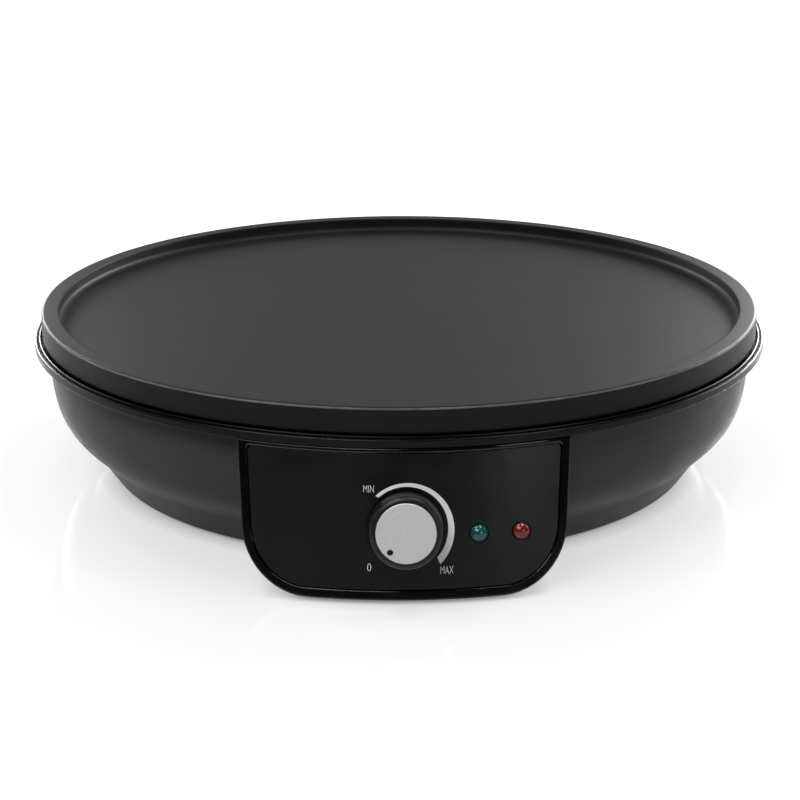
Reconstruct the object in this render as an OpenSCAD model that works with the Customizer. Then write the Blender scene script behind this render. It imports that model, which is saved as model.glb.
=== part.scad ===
// Electric crepe maker: a round griddle plate over a bowl-shaped base, with a control housing
// at the front that carries the thermostat knob and two signal lamps.
// Z is up, the control panel faces -Y, and X runs to the right as seen from the panel.

/* [Cooking plate] */
// Radius of the cooking plate
plate_r = 160; // [150:1:190]
// Height of the plate's outer side
plate_side_h = 11; // [9:0.5:16]
// Width of the flat rim around the dish
rim_w = 7.5; // [5:0.5:14]
// Depth of the dish below the rim
dish_depth = 6; // [4:0.5:7]
// Thickness of the plate under the dish
plate_floor_t = 4.5; // [4:0.25:6.5]
// Rounding of the plate's outer edges
plate_edge_r = 1; // [0.5:0.25:2]
// Rounding where the dish floor meets its wall
dish_fillet_r = 2.5; // [1:0.5:4]

/* [Trim ring] */
// Air gap between the plate's side and the ring's lip
nest_gap = 0.6; // [0.4:0.1:1.5]
// Width of the ring's inner lip
lip_w = 1; // [0.8:0.1:2]
// Width of the groove between the lip and the outer band
groove_w = 0.4; // [0.3:0.1:1]
// Width of the outer band
band_w = 1.5; // [1:0.25:4]
// Height of the outer band above the ring's underside
band_h = 3.45; // [3:0.05:5]
// Height of the inner lip above the ring's underside
lip_h = 4.25; // [4:0.05:6]
// Thickness of the ring's flat web
web_t = 2; // [1.5:0.25:2.5]
// Air gap between the ring's web and the plate
plate_gap = 2.35; // [1.5:0.05:5]
// Number of bosses that fasten the ring to the base
ring_boss_n = 6; // [4:2:8]

/* [Base] */
// Height of the base, without its feet
base_h = 57.25; // [52:0.25:70]
// Wall thickness of the base
base_wall = 2.5; // [2:0.25:3.5]
// How far the ring overhangs the base
ring_overhang = 6.3; // [4:0.1:10]
// How far the waist lies inside the base's widest radius
waist_in = 16.7; // [10:0.1:20]
// Height of the waist above the base's underside
waist_h = 13.2; // [11:0.1:16]
// How far the bottom edge lies inside the widest radius
bottom_in = 25.7; // [18:0.1:34]
// Height of the straight upper wall
collar_h = 3.25; // [2:0.25:8]
// Slope of the flare at the waist, from vertical
flare_angle = 41; // [34:1:50]
// Rounding of the bottom edge
base_edge_r = 2.5; // [1:0.25:4]
// Number of vent slots in the floor
vent_n = 24; // [12:2:36]
// Width of a vent slot
vent_w = 3; // [2:0.5:4]

/* [Feet] */
// Radius of a rubber foot
foot_r = 9; // [7:0.5:12]
// Height of a rubber foot
foot_h = 4.5; // [4:0.25:7]
// How far the feet stand out below the base
foot_out = 1.5; // [1:0.25:4]
// Radius of the circle of feet
foot_circle_r = 112; // [100:1:114]

/* [Control housing] */
// Half width of the housing at its top
pod_half_w = 64.3; // [60:0.1:75]
// Radius of the housing's lower corners
pod_corner_r = 25; // [12:0.5:26]
// Lean of the housing's sides, in degrees
pod_draft = 2.5; // [0:0.25:5]
// Backward tilt of the panel, in degrees
panel_tilt = 13; // [8:0.5:16]
// Clearance between the housing's underside and the table
pod_lift = 1.9; // [1.5:0.1:4]
// Wall thickness of the housing
pod_wall = 2.4; // [2:0.1:3]
// Width of the glossy frame around the fascia
bezel_w = 3.4; // [2.5:0.1:6]
// Height of the glossy strip above the fascia
bezel_top_h = 1.45; // [1:0.05:3]
// Depth of the pocket that holds the fascia
fascia_pocket = 2.4; // [2:0.1:3]
// How far the fascia lies below the frame
fascia_set = 0.4; // [0.1:0.05:0.5]
// Gap between the fascia's edge and the frame
fascia_gap = 0.45; // [0.2:0.05:0.6]

/* [Knob] */
// Sideways place of the knob's axis
knob_x = 0.2; // [-3:0.1:3]
// Height of the knob's axis where it leaves the panel
knob_z = 28.7; // [27:0.1:31]
// Radius of the knob's foot
knob_foot_r = 14.4; // [13:0.1:16]
// How much narrower the knob's side is at its front than at its foot
knob_taper = 0.4; // [0:0.1:0.8]
// Radius of the silver cap
cap_r = 11.5; // [10:0.1:12.4]
// Height of the knob above the panel
knob_h = 12; // [10:0.25:16]
// Radius of the pointer hole in the cap
pointer_r = 1.2; // [0.8:0.1:1.6]
// Distance of the pointer hole from the knob's axis
pointer_out = 9.3; // [7:0.1:9.5]
// Direction of the pointer hole at zero, in degrees from the right
pointer_angle = 229.5; // [200:0.5:250]
// Radius of the thermostat's spindle
spindle_r = 3; // [2.5:0.25:3.25]

/* [Signal lamps] */
// Radius of a lens
lens_r = 3.4; // [3:0.1:4.2]
// Sideways place of the green lens
green_x = 28.3; // [26:0.1:31]
// Height of the green lens
green_z = 26; // [24:0.1:30]
// Sideways place of the red lens
red_x = 44.8; // [42:0.1:46]
// Height of the red lens
red_z = 25.4; // [24:0.1:30]
// Height of a lens dome above the panel
dome_h = 2.2; // [1.5:0.1:3]

/* [Heating] */
// Radius of the heating element's ring
element_ring_r = 105; // [100:1:106]
// Radius of the element's tube
element_r = 4; // [3:0.25:4.5]
// Thickness of the element's clamps
clamp_t = 1.5; // [1:0.25:2.5]
// Radius of the sensor bulb
bulb_r = 3; // [2:0.25:3.5]
// Length of the sensor bulb
bulb_len = 50; // [30:1:60]
// Radius of the heat reflector
reflector_r = 125; // [122:1:128]
// Height of the reflector above the table
reflector_z = 33; // [30:0.5:36]

/* [Cord entry] */
// Radius of the bore in the cord gland
gland_bore_r = 3.6; // [3:0.1:4.2]
// Height of the cord gland above the table
gland_z = 38; // [34:0.5:40]

/* [Hidden] */
$fn = 96;

gloss_black = [0.05, 0.05, 0.055];
satin_black = [0.1, 0.1, 0.105];
shell_grey = [0.2, 0.2, 0.21];
coating_grey = [0.25, 0.25, 0.26];
silver = [0.75, 0.75, 0.77];
steel = [0.6, 0.6, 0.62];
ceramic_white = [0.9, 0.88, 0.84];

// clearances and small fits
eps = 0.01;
slip_gap = 0.3;
skin_gap = 0.1;
fit_gap = 0.05;
reach = 400;

// levels, from the table up
base_z0 = foot_out;
base_floor_z = base_z0 + base_wall;
ring_z0 = base_z0 + base_h;
web_z = ring_z0 + web_t;
plate_z0 = web_z + plate_gap;
plate_top = plate_z0 + plate_side_h;
dish_z = plate_top - dish_depth;
plate_under = dish_z - plate_floor_t;

// radii, from the plate outwards and inwards
lip_in_r = plate_r + nest_gap;
groove_in_r = lip_in_r + lip_w;
band_in_r = groove_in_r + groove_w;
ring_r = band_in_r + band_w;
base_r = ring_r - ring_overhang;
base_in_r = base_r - base_wall;
ring_boss_r = 4;
ring_boss_h = 8;
ring_boss_circle_r = base_in_r - 6.5;
web_in_r = ring_boss_circle_r - ring_boss_r - 1.5;
plate_step_r = web_in_r - 1.5;
dish_r = plate_r - rim_w;

// self-tapping screw, used everywhere but in the plate
screw_r = 1.5;
screw_bore_r = screw_r + fit_gap;
screw_pass_r = screw_r + slip_gap;
screw_head_r = 3;
screw_head_h = 2.2;
screw_seat_t = 4;
screw_grip = 7;

// underside outline of the base
waist_r = base_r - waist_in;
waist_z = base_z0 + waist_h;
bottom_r = base_r - bottom_in;
base_lean = atan2(waist_r - bottom_r, waist_h);
flare_pull = 12;
side_pull = 31;
shoulder_z = ring_z0 - collar_h;
shoulder_steps = 16;
shoulder = [
    [waist_r, waist_z],
    [waist_r + flare_pull * sin(flare_angle), waist_z + flare_pull * cos(flare_angle)],
    [base_r, shoulder_z - side_pull],
    [base_r, shoulder_z]
];

// element, studs and what hangs under the plate
rib_half_w = element_r + 5;
rib_z = plate_under - 3.5;
element_z = rib_z;
clamp_z = element_z - element_r - fit_gap;
clamp_half_len = element_r + 13;
clamp_screw_out = element_r + 9;
clamp_w = 10;
clamp_angles = [0, 90, 180, 240, 300];
clamp_boss_r = 3.8;
plate_bore_h = 3;
element_gap_angle = 12;
elbow_r = 9;
cold_end_len = 4;
pin_r = 1.75;
pin_len = 9;
bead_len = 5;
pin_z = element_z - elbow_r - cold_end_len - pin_len;
pin_x = element_ring_r * sin(element_gap_angle) - elbow_r * cos(element_gap_angle);
pin_y = -element_ring_r * cos(element_gap_angle) - elbow_r * sin(element_gap_angle);
stud_r = 2.5;
stud_circle_r = 70;
stud_boss_r = 9;
stud_boss_h = 6;
stud_in_plate = 1.5;
stud_tower_h = 12;
sleeve_r = 5;
stud_nut_r = 4.6;
stud_nut_t = 4;
nut_pocket_r = 6;
nut_pocket_h = 5;
reflector_t = 0.8;
reflector_rim_h = 8;
reflector_notch_half_w = 25;
reflector_notch_y = -92;
strap_t = 1;
strap_w = 12;
strap_edge = 0.8;
fuse_r = 3.2;
fuse_len = 16;
fuse_y = 42;

// the bulb's outer end lies this far inside the element's rib
bulb_inset = 15;
bulb_end_y = bulb_inset + rib_half_w - element_ring_r;
bulb_y = bulb_end_y + bulb_len / 2;

// the earth tag lies between the element's rib and the step at the plate's edge
earth_tag_r = 4.2;
earth_tag_half_w = 2;
earth_tag_len = 14;
earth_out = 2.4;
earth_r = (element_ring_r + rib_half_w + plate_step_r) / 2 + earth_out;
earth_angle = 75;

// control panel: a cone about the plate's axis, widest at the table
face_top_r = ring_r - 0.5;
pod_top = ring_z0 - slip_gap;
function face_r(z) = face_top_r + (pod_top - z) * tan(panel_tilt);
pod_arc_z = pod_lift + pod_corner_r;
pod_side_z = pod_arc_z - pod_corner_r * sin(pod_draft);
pod_arc_x = pod_half_w - pod_corner_r * cos(pod_draft) - (pod_top - pod_side_z) * tan(pod_draft);
pod_front_t = 2.2;
pod_front_in = fascia_pocket + pod_front_t;
fascia_top = pod_top - bezel_top_h;
fascia_corner_r = 1.5;
pod_boss_r = 4;
pod_pad_r = 6;
pod_pad_t = 4;
upper_screw_x = pod_half_w - 13.3;
upper_screw_z = ring_z0 - 14.75;
lower_screw_x = pod_arc_x - 2;
lower_screw_z = pod_lift + pod_wall + pod_boss_r + 0.7;
window_half_w = upper_screw_x - pod_pad_r - 1;
window_z0 = 13;
window_z1 = ring_z0 - 5.75;

// knob and thermostat, along the knob's own axis with the panel at 0
knob_pocket_r = knob_foot_r + 0.7;
knob_pocket_z = -1.3;
knob_foot_z0 = knob_pocket_z + 0.4;
knob_rim_r = cap_r + 0.6;
knob_rim_z = knob_h - 0.3;
knob_shoulder = knob_foot_r - knob_taper - knob_rim_r;
cap_t = 1.2;
cap_edge = 0.25;
knob_hollow_r = cap_r - 1;
knob_hollow_z = knob_h - cap_t - 1.8;
hub_r = spindle_r + 2.2;
spindle_flat = spindle_r * 0.55;
clip_t = 0.5;
bracket_z = -9;
bracket_t = 1.2;
bracket_half_w = 10;
bracket_half_h = 20;
bracket_screw_out = 16;
bushing_r = spindle_r + 2;
bushing_flange_t = 1.2;
bushing_front_z = -5.4;
thermostat_z = bracket_z - bracket_t - bushing_flange_t;
thermostat_half_w = 15;
thermostat_half_h = 11.5;
thermostat_depth = 18.6;
tab_x = 8;
tab_len = 6;
cap_reach = knob_h * cos(panel_tilt) + (cap_r - cap_edge) * sin(panel_tilt);
shoulder_reach = (knob_rim_z - knob_shoulder) * cos(panel_tilt) + knob_rim_r * sin(panel_tilt)
    + knob_shoulder;
front_reach = face_r(knob_z) + max(cap_reach, shoulder_reach);

// lamps, along each lens's own axis with the panel at 0
lens_pocket_r = lens_r + 0.6;
lens_pocket_h = 0.9;
barrel_r = lens_r - 0.1;
barrel_z = -10;
lens_bore_r = barrel_r - 0.9;
lamp_r = lens_bore_r - slip_gap;
lamp_z = -12.5;
boot_r = barrel_r + 1.4;
boot_front_z = -6.2;
boot_back_z = -15;
boot_back_t = 1.2;
lamp_lead_r = 0.9;
green_place = [green_x, green_z];
red_place = [red_x, red_z];

// cord gland on a flat boss at the back
gland_boss_r = 11;
gland_face_y = base_r + 0.5;
gland_boss_t = 8;
gland_flange_r = 10;
gland_flange_t = 2.5;
gland_barrel_r = gland_bore_r + 2.9;
gland_barrel_len = 16;
gland_nut_t = 4;
gland_nut_r = gland_barrel_r + 3.5;

// terminal block and leads
block_inset = 57.2;
block_y = base_r - block_inset;
block_half_w = 20;
block_screw_x = block_half_w - 6;
block_screw_seat = 4;
block_screw_in = 0.8;
block_pitch = 7;
block_mouth_r = 2.4;
block_d = 16;
block_h = 14;
block_post_h = 3;
block_z = base_floor_z + block_post_h;
block_post_r = 5;
lead_r = 1.1;
lead_z = 12;
lead_end_gap = 0.2;
lead_bend = 12;
lead_straight = 4;
live_x = 14;
live_turn_y = -element_ring_r - 3;
neutral_x = -3;
neutral_turn_y = 20 - element_ring_r;
tab_lead_run = [0, 8, -2];
pin_lead_drop = 10;
earth_lead_drop = 8;
wire_ease = 2.5;

// capillary tube, from the thermostat's back to the sensor bulb
capillary_r = 1;
capillary_up = 6;
capillary_dip = 5;
capillary_turn = 15;

// the frame's origin is under the middle of the whole appliance
origin_y = (front_reach - ring_r) / 2;

module in_frame() {
    translate([0, origin_y, 0]) children();
}

module at_polar(r, a) {
    rotate([0, 0, a]) translate([r, 0, 0]) children();
}

// places children on the panel, with their +Z along its outward normal
module on_face(x, z) {
    rotate([0, 0, asin(x / face_r(z))])
        translate([0, -face_r(z), z])
            rotate([90 - panel_tilt, 0, 0])
                children();
}

module on_knob_axis() {
    translate([knob_x, -face_r(knob_z), knob_z])
        rotate([90 - panel_tilt, 0, 0])
            children();
}

// a drawing in X and Z, extruded towards -Y
module extrude_to_front(h) {
    rotate([90, 0, 0]) linear_extrude(height = h) children();
}

function unit(v) = v / norm(v);

// a path with each inner corner eased into a short curve
function eased(path, cut) = [
    path[0],
    for (i = [1:len(path) - 2])
        let (
            before = path[i] + cut * unit(path[i - 1] - path[i]),
            after = path[i] + cut * unit(path[i + 1] - path[i])
        )
        each [before, (before + 2 * path[i] + after) / 4, after],
    path[len(path) - 1]
];

// a tube swept along an eased path; side is any direction that the path never follows
module wire(path, r, side = [1, 0.1, 0]) {
    sides = 8;
    line = eased(path, wire_ease * r);
    last = len(line) - 1;
    rings = [
        for (i = [0:last])
            let (
                run = unit(line[min(i + 1, last)] - line[max(i - 1, 0)]),
                u = unit(cross(run, side)),
                v = cross(run, u)
            )
            for (k = [0:sides - 1])
                line[i] + r * (u * cos(k * 360 / sides) + v * sin(k * 360 / sides))
    ];
    polyhedron(
        points = rings,
        faces = concat(
            [[for (k = [0:sides - 1]) k]],
            [for (i = [0:last - 1]) for (k = [0:sides - 1])
                let (a = i * sides + k, b = i * sides + (k + 1) % sides)
                each [[a, a + sides, b + sides], [a, b + sides, b]]],
            [[for (k = [sides - 1:-1:0]) last * sides + k]]
        )
    );
}

// pan head screw: the seat is at 0, the shank runs up and the head hangs below
module pan_screw(len) {
    difference() {
        union() {
            cylinder(h = len, r = screw_r, $fn = 48);
            translate([0, 0, -screw_head_h * 0.6])
                cylinder(h = screw_head_h * 0.6, r = screw_head_r, $fn = 48);
            translate([0, 0, -screw_head_h])
                cylinder(h = screw_head_h * 0.4, r1 = screw_head_r - 0.8, r2 = screw_head_r, $fn = 48);
        }
        for (a = [0, 90])
            rotate([0, 0, a])
                translate([-1.6, -0.3, -screw_head_h - eps])
                    cube([3.2, 0.6, 1.2]);
    }
}

module hex_nut(r, bore, t) {
    difference() {
        cylinder(h = t, r = r, $fn = 6);
        translate([0, 0, -eps]) cylinder(h = t + 2 * eps, r = bore, $fn = 48);
    }
}

function bezier(p, t) =
    pow(1 - t, 3) * p[0] + 3 * pow(1 - t, 2) * t * p[1]
    + 3 * (1 - t) * t * t * p[2] + pow(t, 3) * p[3];
function bezier_run(p, t) =
    pow(1 - t, 2) * (p[1] - p[0]) + 2 * (1 - t) * t * (p[2] - p[1]) + t * t * (p[3] - p[2]);
function outward(v) = [v[1], -v[0]] / norm(v);
function arc(c, r, a0, a1, n) =
    [for (i = [0:n]) let (a = a0 + (a1 - a0) * i / n) c + r * [cos(a), sin(a)]];
function shoulder_line(off) =
    [for (i = [0:shoulder_steps])
        let (t = i / shoulder_steps)
        bezier(shoulder, t) + off * outward(bezier_run(shoulder, t))];

// lower edge of the base, grown by off: rounded outside, sharp inside
function lean_r(z) = bottom_r + (z - base_z0) * tan(base_lean);
function bottom_edge(off) =
    off < 0
        ? [[lean_r(base_z0 - off) + off / cos(base_lean), base_z0 - off]]
        : arc([bottom_r - base_edge_r * tan((90 - base_lean) / 2), base_z0 + base_edge_r],
            base_edge_r + off, -90, -base_lean, 6);

module bowl_outline(off) {
    polygon(concat(
        [[0, base_z0 - off]],
        bottom_edge(off),
        shoulder_line(off),
        [[base_r + off, ring_z0 + eps + abs(off)], [0, ring_z0 + eps + abs(off)]]
    ));
}

module bowl_solid(off) {
    rotate_extrude() bowl_outline(off);
}

// solid inside the panel's cone, less depth t measured square to the panel
module face_cone(t) {
    cylinder(h = pod_top, r1 = face_r(0) - t / cos(panel_tilt),
        r2 = face_top_r - t / cos(panel_tilt), $fn = 180);
}

// outline of the housing in X and Z, drawn in by inset at its sides and bottom
module pod_outline(inset, top) {
    r = pod_corner_r - inset;
    side = [for (p = arc([pod_arc_x, pod_arc_z], r, -90, -pod_draft, 12)) p];
    top_x = side[12][0] + (top - side[12][1]) * tan(pod_draft);
    right = concat(side, [[top_x, top]]);
    left = [for (i = [len(right) - 1:-1:0]) [-right[i][0], right[i][1]]];
    polygon(concat(right, left));
}

// outline of the fascia, with its upper corners rounded
module fascia_outline(inset) {
    intersection() {
        pod_outline(bezel_w + inset, fascia_top - inset);
        union() {
            translate([-reach / 2, 0])
                square([reach, fascia_top - fascia_corner_r]);
            for (s = [-1, 1])
                translate([s * (fascia_corner_x() - inset), fascia_top - fascia_corner_r])
                    circle(r = fascia_corner_r - inset);
            translate([-fascia_corner_x(), 0])
                square([2 * fascia_corner_x(), fascia_top]);
        }
    }
}
function fascia_corner_x() =
    pod_half_w - bezel_w - fascia_corner_r - (bezel_top_h + fascia_corner_r) * tan(pod_draft);

// screws that fasten the housing to the base, as [x, z, y of the seat inside the base, length]
housing_screw_max = 16;
function seat_y(r, x) = -(sqrt(r * r - x * x) - pod_pad_t);
function front_in_y(x, z) = -sqrt(pow(face_r(z) - pod_front_in / cos(panel_tilt), 2) - x * x);
function housing_fixing(x, z, wall_in_r) =
    let (y = seat_y(wall_in_r, x))
    [x, z, y, min(housing_screw_max, y - front_in_y(x, z) - 0.5)];
housing_fixings = [
    for (s = [-1, 1]) housing_fixing(s * upper_screw_x, upper_screw_z, base_in_r),
    for (s = [-1, 1]) housing_fixing(s * lower_screw_x, lower_screw_z,
        lean_r(lower_screw_z) - base_wall / cos(base_lean))
];

module griddle_plate() {
    color(coating_grey) in_frame() difference() {
        union() {
            rotate_extrude($fn = 180) difference() {
                polygon(concat(
                    [[0, plate_under], [plate_step_r, plate_under], [plate_step_r, plate_z0]],
                    arc([plate_r - plate_edge_r, plate_z0 + plate_edge_r], plate_edge_r, -90, 0, 4),
                    arc([plate_r - plate_edge_r, plate_top - plate_edge_r], plate_edge_r, 0, 90, 4),
                    [[dish_r, plate_top], [0, plate_top]]
                ));
                polygon(concat(
                    [[0, dish_z]],
                    arc([dish_r - dish_fillet_r, dish_z + dish_fillet_r], dish_fillet_r, -90, 0, 6),
                    [[dish_r, plate_top + eps], [0, plate_top + eps]]
                ));
            }
            rotate_extrude() translate([element_ring_r - rib_half_w, rib_z])
                square([2 * rib_half_w, plate_under - rib_z + eps]);
            for (a = [45:90:315])
                at_polar(stud_circle_r, a)
                    translate([0, 0, plate_under - stud_boss_h])
                        cylinder(h = stud_boss_h + eps, r = stud_boss_r);
            for (a = clamp_angles)
                for (s = [-1, 1])
                    at_polar(element_ring_r + s * clamp_screw_out, a)
                        translate([0, 0, clamp_z])
                            cylinder(h = plate_under - clamp_z + eps, r = clamp_boss_r);
        }
        rotate_extrude() translate([element_ring_r, element_z])
            circle(r = element_r + fit_gap, $fn = 48);
        for (a = [45:90:315])
            at_polar(stud_circle_r, a)
                translate([0, 0, plate_under - stud_boss_h - eps])
                    cylinder(h = stud_boss_h + stud_in_plate + 0.4, r = stud_r + fit_gap);
        for (a = clamp_angles)
            for (s = [-1, 1])
                at_polar(element_ring_r + s * clamp_screw_out, a)
                    translate([0, 0, clamp_z - eps])
                        cylinder(h = screw_grip + fit_gap, r = screw_bore_r);
        under_plate_fixings()
            translate([0, 0, -eps]) cylinder(h = plate_bore_h + eps, r = screw_bore_r);
    }
}

// the screws straight into the plate's underside: bulb clip, fuse clip and earth tag
module under_plate_fixings() {
    for (s = [-1, 1]) {
        translate([s * strap_ear_x(bulb_r), bulb_y, plate_under]) children();
        translate([s * strap_ear_x(fuse_r), fuse_y, plate_under]) children();
    }
    at_polar(earth_r, earth_angle) translate([0, 0, plate_under]) children();
}
function strap_ear_x(r) = r + strap_t + screw_head_r + strap_edge;

module plate_screws() {
    color(steel) in_frame()
        under_plate_fixings()
            translate([0, 0, -strap_t]) pan_screw(strap_t + plate_bore_h - 0.2);
}

// saddle strap that holds a tube of radius r against the plate, screwed at both ears
module saddle(r) {
    drop = r + fit_gap;
    difference() {
        rotate([90, 0, 0]) translate([0, 0, -strap_w / 2]) linear_extrude(height = strap_w)
            difference() {
                union() {
                    translate([0, -drop]) circle(r = drop + strap_t);
                    translate([-drop - strap_t, -drop]) square([2 * (drop + strap_t), drop]);
                    translate([-strap_ear_x(r) - screw_head_r - strap_edge, -strap_t])
                        square([2 * (strap_ear_x(r) + screw_head_r + strap_edge), strap_t]);
                }
                translate([0, -drop]) circle(r = drop);
                translate([-drop, -drop]) square([2 * drop, drop + strap_t + eps]);
            }
        for (s = [-1, 1])
            translate([s * strap_ear_x(r), 0, -strap_t - eps])
                cylinder(h = strap_t + 2 * eps, r = screw_bore_r);
    }
}

module bulb_clip() {
    color(steel) in_frame() translate([0, bulb_y, plate_under]) saddle(bulb_r);
}

module sensor_bulb() {
    color("peru") in_frame()
        translate([0, bulb_end_y + bulb_len, plate_under - bulb_r - fit_gap])
            rotate([90, 0, 0]) cylinder(h = bulb_len, r = bulb_r);
}

module fuse_clip() {
    color(steel) in_frame() translate([0, fuse_y, plate_under]) saddle(fuse_r);
}

module thermal_fuse() {
    color(ceramic_white) in_frame()
        translate([0, fuse_y + fuse_len / 2, plate_under - fuse_r - fit_gap])
            rotate([90, 0, 0]) cylinder(h = fuse_len, r = fuse_r);
}

module earth_tag() {
    color("goldenrod") in_frame() at_polar(earth_r, earth_angle)
        translate([0, 0, plate_under - strap_t]) difference() {
            union() {
                cylinder(h = strap_t, r = earth_tag_r);
                translate([-earth_tag_half_w, -earth_tag_len, 0])
                    cube([2 * earth_tag_half_w, earth_tag_len, strap_t]);
            }
            translate([0, 0, -eps]) cylinder(h = strap_t + 2 * eps, r = screw_bore_r);
        }
}

module heating_element() {
    color(steel) in_frame() {
        rotate([0, 0, 270 + element_gap_angle])
            rotate_extrude(angle = 360 - 2 * element_gap_angle)
                translate([element_ring_r, 0]) translate([0, element_z]) circle(r = element_r, $fn = 48);
        for (s = [0, 1])
            mirror([s, 0, 0]) rotate([0, 0, 270 - element_gap_angle])
                translate([element_ring_r, 0, element_z]) {
                    translate([0, 0, -elbow_r]) rotate([0, -90, 0])
                        rotate_extrude(angle = 90) translate([elbow_r, 0]) circle(r = element_r, $fn = 48);
                    translate([0, elbow_r, -elbow_r - cold_end_len])
                        cylinder(h = cold_end_len, r = element_r, $fn = 48);
                    translate([0, elbow_r, -elbow_r - cold_end_len - pin_len])
                        cylinder(h = pin_len + eps, r = pin_r, $fn = 48);
                }
    }
}

module element_insulators() {
    color(ceramic_white) in_frame()
        for (s = [-1, 1])
            translate([s * pin_x, pin_y, element_z - elbow_r - cold_end_len - bead_len])
                difference() {
                    cylinder(h = bead_len, r = element_r - 0.5);
                    translate([0, 0, -eps])
                        cylinder(h = bead_len + 2 * eps, r = pin_r + skin_gap);
                }
}

module element_clamps() {
    color(steel) in_frame()
        for (a = clamp_angles)
            at_polar(element_ring_r, a) translate([0, 0, clamp_z - clamp_t]) difference() {
                translate([-clamp_half_len, -clamp_w / 2, 0])
                    cube([2 * clamp_half_len, clamp_w, clamp_t]);
                for (s = [-1, 1])
                    translate([s * clamp_screw_out, 0, -eps])
                        cylinder(h = clamp_t + 2 * eps, r = screw_pass_r);
            }
}

module clamp_screws() {
    color(steel) in_frame()
        for (a = clamp_angles)
            for (s = [-1, 1])
                at_polar(element_ring_r + s * clamp_screw_out, a)
                    translate([0, 0, clamp_z - clamp_t]) pan_screw(clamp_t + screw_grip - 0.5);
}

module plate_studs() {
    stud_z = base_z0 + 0.5;
    color(steel) in_frame()
        for (a = [45:90:315])
            at_polar(stud_circle_r, a) translate([0, 0, stud_z])
                cylinder(h = plate_under + stud_in_plate - stud_z, r = stud_r);
}

// spacer sleeves on the studs, above and below the reflector
module stud_sleeves() {
    color(ceramic_white) in_frame()
        for (a = [45:90:315])
            at_polar(stud_circle_r, a)
                for (span = [
                    [base_floor_z + stud_tower_h, reflector_z],
                    [reflector_z + reflector_t, plate_under - stud_boss_h]
                ])
                    translate([0, 0, span[0]]) difference() {
                        cylinder(h = span[1] - span[0], r = sleeve_r);
                        translate([0, 0, -eps])
                            cylinder(h = span[1] - span[0] + 2 * eps, r = stud_r + skin_gap);
                    }
}

module stud_nuts() {
    color(steel) in_frame()
        for (a = [45:90:315])
            at_polar(stud_circle_r, a)
                translate([0, 0, base_z0 + nut_pocket_h - stud_nut_t])
                    hex_nut(stud_nut_r, stud_r + fit_gap, stud_nut_t);
}

module heat_reflector() {
    color(silver) in_frame() difference() {
        rotate_extrude($fn = 180) union() {
            translate([0, reflector_z]) square([reflector_r, reflector_t]);
            translate([reflector_r - reflector_t, reflector_z])
                square([reflector_t, reflector_rim_h]);
        }
        translate([-reflector_notch_half_w, -reflector_r - 1, reflector_z - 1])
            cube([2 * reflector_notch_half_w, reflector_r + 1 + reflector_notch_y,
                reflector_rim_h + 2]);
        for (a = [45:90:315])
            at_polar(stud_circle_r, a) translate([0, 0, reflector_z - 1])
                cylinder(h = reflector_t + 2, r = stud_r + skin_gap);
    }
}

module trim_ring() {
    lip_top = ring_z0 + lip_h;
    band_top = ring_z0 + band_h;
    color(gloss_black) in_frame() difference() {
        union() {
            rotate_extrude($fn = 180) union() {
                translate([web_in_r, ring_z0]) square([ring_r - 0.4 - web_in_r, web_t]);
                polygon(concat(
                    [[lip_in_r, ring_z0 + 1], [groove_in_r, ring_z0 + 1]],
                    arc([(lip_in_r + groove_in_r) / 2, lip_top - lip_w / 2], lip_w / 2, 0, 180, 6)
                ));
                polygon(concat(
                    [[band_in_r, ring_z0], [ring_r - 0.4, ring_z0], [ring_r, ring_z0 + 0.4]],
                    arc([ring_r - 0.7, band_top - 0.7], 0.7, 0, 90, 4),
                    [[band_in_r, band_top]]
                ));
                translate([base_in_r - slip_gap - 1.8, ring_z0 - 4.5]) square([1.8, 5]);
            }
            ring_fixings()
                translate([0, 0, ring_z0 - ring_boss_h])
                    cylinder(h = ring_boss_h + eps, r = ring_boss_r);
        }
        ring_fixings()
            translate([0, 0, ring_z0 - ring_boss_h - eps])
                cylinder(h = screw_grip + fit_gap, r = screw_bore_r);
    }
}

module ring_fixings() {
    for (i = [0:ring_boss_n - 1])
        at_polar(ring_boss_circle_r, i * 360 / ring_boss_n) children();
}

module ring_screws() {
    color(steel) in_frame() ring_fixings()
        translate([0, 0, ring_z0 - ring_boss_h - screw_seat_t])
            pan_screw(screw_seat_t + screw_grip - 0.5);
}

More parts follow.
